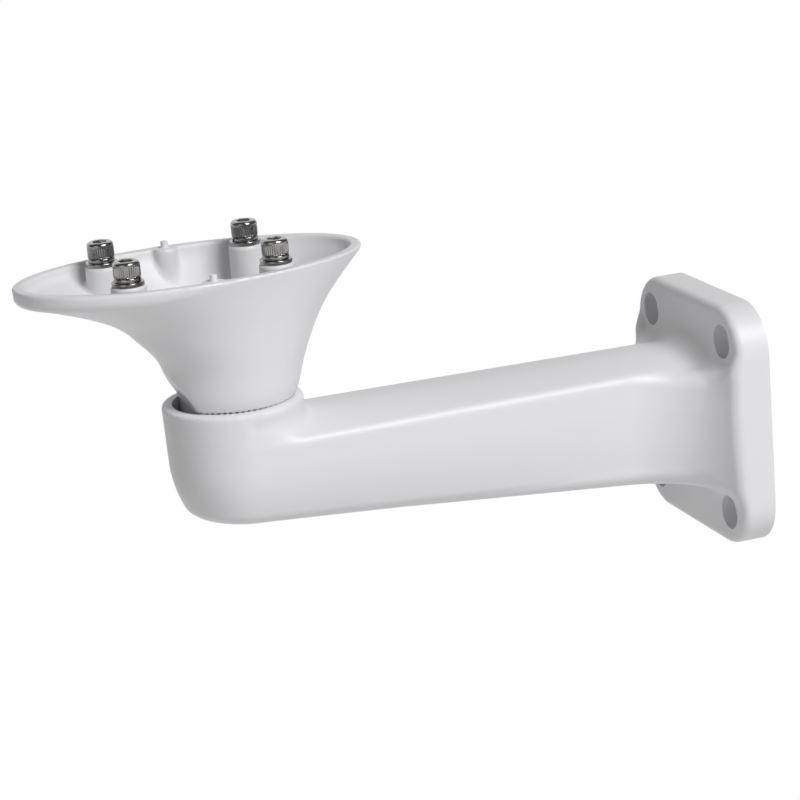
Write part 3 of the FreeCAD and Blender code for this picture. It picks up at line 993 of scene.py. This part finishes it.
@dataclass
class SwivelHead:
    """The casting that turns on the cup and carries the camera."""

    axis_reach: float = 201.7
    seat: float = 36.6
    skirt: float = 0.22
    lip: float = 90.0
    rises: tuple[float, ...] = (0, 3.4, 10.4, 18.4, 26.4, 34.4, 41.4, 47.9, 53.4)
    fronts: tuple[float, ...] = (22.5, 23.6, 24.6, 27.1, 33.69, 42.55, 57.67, 79.19, 103.92)
    backs: tuple[float, ...] = (24.12, 25.59, 27.75, 30.58, 34.37, 39.18, 44.99, 51.19, 56.45)
    sides: tuple[float, ...] = (21.93, 23.5, 24.95, 26.5, 28.3, 30.4, 32.9, 35.9, 39.19)
    lip_front: float = 77.95
    lip_back: float = 54.75
    lip_side: float = 38.23
    lip_round: float = 0.8
    brim_round: float = 2.2
    wall: float = 3.2
    collar_wall: float = 3.5
    collar_span: Span = (2.0, 9.0)
    post_draft: float = 0.012
    post_fillet: float = 2.5
    peg_fillet: float = 1.2
    rim_draft: float = 0.03
    rim_width: float = 4.0
    column_radius: float = 6.5
    screw_along: float = 56.1
    screw_across: float = 39.2
    screw_shift: float = 11.7
    peg_across: float = 67.8
    peg_shift: float = 11.7
    peg_radius: float = 1.4
    peg_height: float = 2.6
    peg_boss: float = 4.6
    facet_chord: float = 18.0
    facet_step: float = 2.0
    facet_lean: float = 10.2
    facet_height: float = 18.6
    seat_bore: float = 30.0
    bridge_base: float = 4.0
    bridge_thick: float = 6.0
    bridge_width: float = 19.0
    clamp_bore: float = 9.0
    screw_bore: float = 6.2
    screw_depth: float = 11.4
    tooth_count: int = 60
    tooth_half: float = 0.8
    tooth_depth: float = 0.5
    tooth_reach: float = 27.0
    cell: float = 0.95
    curves: list[Curve] = field(default_factory=list)

    def __post_init__(self) -> None:
        """Fit the outline's curves."""
        self.curves = [Curve.through(self.rises, reaches)
                       for reaches in (self.fronts, self.backs, self.sides)]

    def screw_spots(self) -> list[tuple[float, float]]:
        """Give the camera screws' places, in the order of their numbers."""
        return [(self.screw_shift + along * self.screw_along / 2, side * self.screw_across / 2)
                for along in (1, -1) for side in (1, -1)]

    def horn(self, out: Array, across: Array, rise: Array) -> Array:
        """Measure the distance to the flared outside.

        Args:
            out: distance in front of the swivel axis.
            across: distance to the side of it.
            rise: height above the seat.

        Returns:
            The distance at each point.
        """
        (front, front_slope), (back, back_slope), (half, half_slope) = (
            curve.read(rise) for curve in self.curves)
        centre, long = (front - back) / 2, (front + back) / 2
        centre_slope, long_slope = (front_slope - back_slope) / 2, (front_slope + back_slope) / 2
        u, v = (out - centre) / long, across / half
        size = np.maximum(np.hypot(u, v), 0.15)
        slope_up = -(u * (centre_slope + u * long_slope) / long + v * v * half_slope / half) / size
        steep = np.sqrt((u / long / size) ** 2 + (v / half / size) ** 2 + slope_up ** 2)
        return (size - 1) / np.maximum(steep, 0.004)

    def rim(self, out: Array, across: Array, rise: Array) -> Array:
        """Measure the distance to the upright wall round the lip."""
        centre = (self.lip_front - self.lip_back) / 2
        long = (self.lip_front + self.lip_back) / 2
        draft = (self.lip - self.seat - rise) * self.rim_draft
        u, v = (out - centre) / long, across / self.lip_side
        size = np.maximum(np.hypot(u, v), 0.15)
        steep = np.hypot(u / long, v / self.lip_side) / size
        return (size - 1) / np.maximum(steep, 0.004) + draft

    def flat(self, out: Array, rise: Array) -> Array:
        """Measure the distance in front of the leaning flat at the neck."""
        lean = self.facet_lean / (self.facet_height - self.facet_step)
        over = np.maximum(rise - self.facet_step, 0)
        return (out - self.facet_chord - lean * over) / math.hypot(1, lean)

    def skin(self, points: Array) -> Array:
        """Measure the distance to the casting.

        Args:
            points: points in millimetres.

        Returns:
            The distance at each point.
        """
        x, y, z = points.T
        out, rise = x - self.axis_reach, z - self.seat
        horn, rim, flat = self.horn(out, y, rise), self.rim(out, y, rise), self.flat(out, rise)
        shape = meet(horn, rim, 0.5 + (self.brim_round - 0.5) * ramp(out, 0, 60))
        flat = flat - 90 * ramp(rise, self.facet_height, self.facet_height + 2)
        shape = meet(shape, flat, 0.5)
        thick = self.wall + self.collar_wall * (1 - ramp(rise, *self.collar_span))
        room = meet(horn + thick, rim + self.rim_width, 2.0)
        room = meet(room, flat + self.wall, 1.5)
        bridge = np.maximum(np.abs(out) - self.bridge_width / 2,
                            np.abs(rise - self.bridge_base - self.bridge_thick / 2)
                            - self.bridge_thick / 2)
        radius = np.hypot(out, y)
        bridge = np.maximum(bridge, self.clamp_bore / 2 - radius)
        metal = join(-room, bridge, 1.0)
        for along, side in self.screw_spots():
            post = np.hypot(out - along, y - side) - self.column_radius
            metal = join(metal, post - (self.lip - z) * self.post_draft, self.post_fillet)
        for side in Side:
            post = np.hypot(out - self.peg_shift, y - side.value * self.peg_across / 2)
            metal = join(metal, post - self.peg_boss, self.peg_fillet)
        shape = np.maximum(shape, metal)
        shape = meet(shape, z - self.lip, self.lip_round)
        return meet(shape, self.seat - self.skirt - z, 0.35)

    def pegs(self) -> list[bpy.types.Object]:
        """Build the two locating pegs with their rounded tips."""
        made = []
        for side in Side:
            radius, high = self.peg_radius, self.peg_height
            profile = [(radius + 0.5, -1.5), (radius + 0.5, -0.02), (radius + 0.1, 0.3),
                       (radius, 0.6)]
            for turn in range(0, 91, 15):
                bow = math.radians(turn)
                profile.append((max(radius - 0.5 + 0.5 * math.cos(bow), 0.02),
                                high - 0.5 + 0.5 * math.sin(bow)))
            made.append(Workshop.turned("peg", profile, (
                self.axis_reach + self.peg_shift, side.value * self.peg_across / 2, self.lip),
                32))
        return made

    def cutters(self) -> list[bpy.types.Object]:
        """Build the screw holes and the teeth."""
        made = [Workshop.turned("hole", [(0.01, -self.screw_depth - 1),
                                         (self.screw_bore / 2, -self.screw_depth),
                                         (self.screw_bore / 2, 3)],
                                (self.axis_reach + along, side, self.lip), 40)
                for along, side in self.screw_spots()]
        made.append(teeth(self.tooth_count, self.seat_bore / 2 - 1, self.tooth_reach,
                          self.tooth_half, self.tooth_depth, self.axis_reach,
                          self.seat - self.skirt, 1))
        return made

    def build(self) -> None:
        """Net the skin, cut it and hang it on the head's body."""
        low = (self.axis_reach - self.lip_back - 2.2, -self.lip_side - 2.1, self.seat - 1.9)
        high = (self.axis_reach + self.lip_front + 2, self.lip_side + 2, self.lip + 2)
        points, faces = SkinNet(low, high, self.cell).net(self.skin)
        head = Workshop.solid("swivel_head_casting", points, faces)
        Workshop.combine(head, self.cutters())
        Workshop.combine(head, self.pegs(), "UNION")
        Workshop.smooth(head, 42)
        fit(head, COAT, "head", "white_paint", "swivel_head")


@dataclass
class CapScrew:
    """A socket head cap screw with a knurled head and a cut thread."""

    diameter: float
    length: float
    pitch: float
    steps: int = 144
    knurls: int = 36
    turn: float = 0.0

    def hexagon(self, angle: Array) -> Array:
        """Give the socket's reach in each direction."""
        flat = self.diameter * 0.417
        part = np.mod(angle + self.turn, math.pi / 3) - math.pi / 6
        return flat / np.cos(part)

    def rows(self) -> list[Array]:
        """Work out every ring of the screw, from its tip to the socket's floor."""
        angle = np.linspace(0, 2 * math.pi, self.steps, endpoint=False)
        size, radius = self.diameter, self.diameter / 2
        rings: list[tuple[Array | float, float]] = [(0.01, -self.length),
                                                    (radius * 0.78, -self.length)]
        threaded = self.length - self.pitch
        for step in range(round(threaded / self.pitch * 8)):
            height = -self.length + 0.4 + step * self.pitch / 8
            wave = np.mod((height / self.pitch) - angle / (2 * math.pi), 1)
            notch = np.abs(wave - 0.5) * 2
            fade = min(1.0, (height + self.length) / self.pitch + 0.2)
            rings.append((radius - (0.55 * self.pitch * (1 - notch) + (1 - fade) * 0.3),
                          height))
        rings += [(radius * 0.97, -0.35), (radius * 1.02, -0.12)]
        head = size * 5 / 6
        ridge = 0.5 + 0.5 * np.cos(angle * self.knurls)
        knurl = head - 0.26 * ridge
        rings += [(head - 0.5, 0.0), (head - 0.2, 0.08), (head - 0.02, 0.35), (knurl, 0.55)]
        rings += [(knurl, height) for height in np.linspace(0.9, size * 0.72, 6)]
        rings.append((head - 0.02, size * 0.77))
        bend = size * 0.2
        for degrees in range(0, 91, 15):
            bow = math.radians(degrees)
            rings.append((head - bend + bend * math.cos(bow), size - bend + bend * math.sin(bow)))
        mouth = self.hexagon(angle)
        rings += [(np.maximum(mouth, size * 0.5) + 0.12, size), (mouth + 0.05, size - 0.12),
                  (mouth - 0.04, size - 0.35), (mouth - 0.04, size * 0.48),
                  (mouth * 0.55, size * 0.4), (0.01, size * 0.36)]
        made = []
        for ring, height in rings:
            reach = np.broadcast_to(np.asarray(ring, float), angle.shape)
            made.append(np.stack([reach * np.cos(angle), reach * np.sin(angle),
                                  np.full(self.steps, height)], axis=1))
        return made

    def build(self, name: str, place: Point, body: str, node: str) -> None:
        """Build the screw with the underside of its head at a place.

        Args:
            name: the piece's name.
            place: the place in millimetres.
            body: the body that it rides on.
            node: the solid that it stands for.
        """
        screw = Workshop.tube(name, [ring + np.array(place) for ring in self.rows()])
        Workshop.smooth(screw, 38)
        fit(screw, STEEL, body, "plated_steel", node)


@dataclass
class Washer:
    """A flat washer, or a split spring washer."""

    bore: float
    width: float
    thick: float
    slit: float = 0.0
    edge: float = 0.3
    steps: int = 96

    def section(self) -> list[tuple[float, float]]:
        """Draw the rounded section, as radius and height."""
        inner, outer, edge = self.bore / 2, self.width / 2, self.edge
        corners = ((outer - edge, edge, -90), (outer - edge, self.thick - edge, 0),
                   (inner + edge, self.thick - edge, 90), (inner + edge, edge, 180))
        return [(radius + edge * math.cos(math.radians(start + turn)),
                 height + edge * math.sin(math.radians(start + turn)))
                for radius, height, start in corners for turn in (0, 30, 60, 90)]

    def build(self, name: str, place: Point, body: str, node: str, facing: float) -> None:
        """Build the washer with its underside at a place.

        Args:
            name: the piece's name.
            place: the place in millimetres.
            body: the body that it rides on.
            node: the solid that it stands for.
            facing: direction of the slit in degrees.
        """
        section = self.section()
        count = len(section)
        gap = self.slit / self.width
        span = np.linspace(gap, 2 * math.pi - gap, self.steps) if self.slit else np.linspace(
            0, 2 * math.pi, self.steps, endpoint=False)
        points = []
        for turn in span:
            for radius, height in section:
                slant = (height / self.thick - 0.5) * gap * 1.6 if self.slit else 0.0
                spot = turn + math.radians(facing) + slant
                points.append((place[0] + radius * math.cos(spot),
                               place[1] + radius * math.sin(spot), place[2] + height))
        faces: list[tuple[int, ...]] = []
        for step in range(self.steps - (1 if self.slit else 0)):
            a, b = step * count, (step + 1) % self.steps * count
            for i in range(count):
                j = (i + 1) % count
                faces.append((a + i, b + i, b + j, a + j))
        if self.slit:
            faces.append(tuple(range(count)))
            faces.append(tuple(range(len(points) - count, len(points)))[::-1])
        washer = Workshop.solid(name, points, faces)
        Workshop.smooth(washer, 50)
        fit(washer, STEEL, body, "plated_steel", node)


@dataclass
class Fasteners:
    """The camera screws and the clamp bolt with their washers."""

    head: SwivelHead
    flat_thick: float = 1.6
    flat_width: float = 12.0
    spring_thick: float = 1.6
    spring_width: float = 10.0
    screw: float = 6.0
    screw_length: float = 14.0
    clamp: float = 8.0
    clamp_flat_thick: float = 1.6
    clamp_flat_width: float = 16.0
    clamp_spring_thick: float = 2.0
    clamp_spring_width: float = 13.0
    gap: float = 0.3
    clamp_tip: float = 3.0
    slack: float = 0.2

    def build(self) -> None:
        """Build all fasteners."""
        bore = self.screw + 2 * self.slack
        for number, (along, side) in enumerate(self.head.screw_spots(), start=1):
            x, base = self.head.axis_reach + along, self.head.lip
            Washer(bore, self.flat_width, self.flat_thick).build(
                f"flat_washer_{number}", (x, side, base), "head",
                f"camera_flat_washer_{number}", 0)
            Washer(bore, self.spring_width, self.spring_thick, 1.0).build(
                f"spring_washer_{number}", (x, side, base + self.flat_thick), "head",
                f"camera_spring_washer_{number}", 55 + 80 * number)
            under = base + self.flat_thick + self.spring_thick
            CapScrew(self.screw, self.screw_length, 1.0, turn=0.35 * number).build(
                f"cap_screw_{number}", (x, side, under), "head", f"camera_screw_{number}")
        x = self.head.axis_reach
        base = self.head.seat + self.head.bridge_base + self.head.bridge_thick + self.gap
        bore = self.clamp + 2 * self.slack
        Washer(bore, self.clamp_flat_width, self.clamp_flat_thick).build(
            "clamp_washer", (x, 0, base), "arm", "clamp_flat_washer", 0)
        Washer(bore, self.clamp_spring_width, self.clamp_spring_thick, 1.2).build(
            "clamp_spring", (x, 0, base + self.clamp_flat_thick), "arm",
            "clamp_spring_washer", 200)
        under = base + self.clamp_flat_thick + self.clamp_spring_thick
        CapScrew(self.clamp, under - self.clamp_tip, 1.25, turn=0.2).build(
            "clamp_cap_bolt", (x, 0, under), "arm", "clamp_bolt")


@dataclass
class Studio:
    """Floor, lamps and camera."""

    floor_level: float = -0.32
    camera_place: Point = (0.46229, 0.97048, 0.31134)
    azimuth: float = 161.38
    elevation: float = 15.66
    roll: float = -4.65
    lens: float = 124.19
    key_place: Point = (-0.5, 1.5, 1.5)
    key_size: float = 1.0
    key_power: float = 39.0
    front_place: Point = (1.6, 1.2, 0.5)
    front_size: float = 1.2
    front_power: float = 3.5
    sky_strength: float = 0.12

    def build(self) -> None:
        """Set the stage, the lamps and the camera."""
        self.build_floor()
        self.build_lamps()
        self.build_camera()

    def build_floor(self) -> None:
        """Lay a floor that curves up behind the bracket."""
        half, back, bend, steps = 4.0, 3.0, 1.2, 16
        profile = [(6.0, 0.0)]
        for step in range(steps + 1):
            turn = math.pi / 2 * step / steps
            profile.append((-back + bend - bend * math.sin(turn), bend - bend * math.cos(turn)))
        profile.append((-back, 5.0))
        points = [(side * half, y, z + self.floor_level) for y, z in profile for side in (-1, 1)]
        faces = [(2 * i, 2 * i + 1, 2 * i + 3, 2 * i + 2) for i in range(len(profile) - 1)]
        mesh = bpy.data.meshes.new("floor")
        mesh.from_pydata(points, [], faces)
        floor = bpy.data.objects.new("floor", mesh)
        bpy.context.scene.collection.objects.link(floor)
        for face in mesh.polygons:
            face.use_smooth = True
        mesh.materials.append(Backdrop().material())

    def lamp(self, name: str, place: Point, size: float, power: float,
             aim: Point = (0.12, 0.0, 0.02)) -> None:
        """Hang a square soft lamp that looks at the bracket.

        Args:
            name: the lamp's name.
            place: its place in metres.
            size: its side in metres.
            power: its power in watts.
            aim: the point that it looks at.
        """
        data = bpy.data.lights.new(name, "AREA")
        data.size = size
        data.energy = power
        thing = bpy.data.objects.new(name, data)
        away = np.array(place) - np.array(aim)
        away /= np.linalg.norm(away)
        right = np.cross((0, 0, 1), away)
        right /= np.linalg.norm(right)
        turn = np.stack([right, np.cross(away, right), away], axis=1)
        thing.matrix_world = Matrix.Translation(place) @ Matrix(turn.tolist()).to_4x4()
        bpy.context.scene.collection.objects.link(thing)

    def build_lamps(self) -> None:
        """Hang the key lamp, the front lamp and the sky."""
        self.lamp("key", self.key_place, self.key_size, self.key_power)
        self.lamp("front", self.front_place, self.front_size, self.front_power)
        world = bpy.data.worlds.new("sky")
        world.use_nodes = True
        shade = world.node_tree.nodes["Background"]
        shade.inputs["Color"].default_value = (1, 1, 1, 1)
        shade.inputs["Strength"].default_value = self.sky_strength
        bpy.context.scene.world = world

    def build_camera(self) -> None:
        """Place the camera at the photograph's viewing angle."""
        turn, tilt, roll = (math.radians(v) for v in (self.azimuth, self.elevation, self.roll))
        back = np.array([math.sin(turn) * math.cos(tilt), -math.cos(turn) * math.cos(tilt),
                         math.sin(tilt)])
        right = np.cross((0, 0, 1), back)
        right /= np.linalg.norm(right)
        up = np.cross(back, right)
        c, s = math.cos(roll), math.sin(roll)
        axes = np.stack([c * right + s * up, -s * right + c * up, back], axis=1)
        data = bpy.data.cameras.new("camera")
        data.sensor_width = 36
        data.sensor_fit = "HORIZONTAL"
        data.lens = self.lens
        data.clip_end = 100
        thing = bpy.data.objects.new("camera", data)
        thing.matrix_world = Matrix.Translation(self.camera_place) @ Matrix(
            axes.tolist()).to_4x4()
        bpy.context.scene.collection.objects.link(thing)
        bpy.context.scene.camera = thing
        bpy.context.scene.view_settings.view_transform = "Standard"


def main() -> None:
    """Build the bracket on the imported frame."""
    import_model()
    Studio().build()
    WallArm().build()
    head = SwivelHead()
    head.build()
    Fasteners(head).build()


if __name__ == "__main__":
    main()
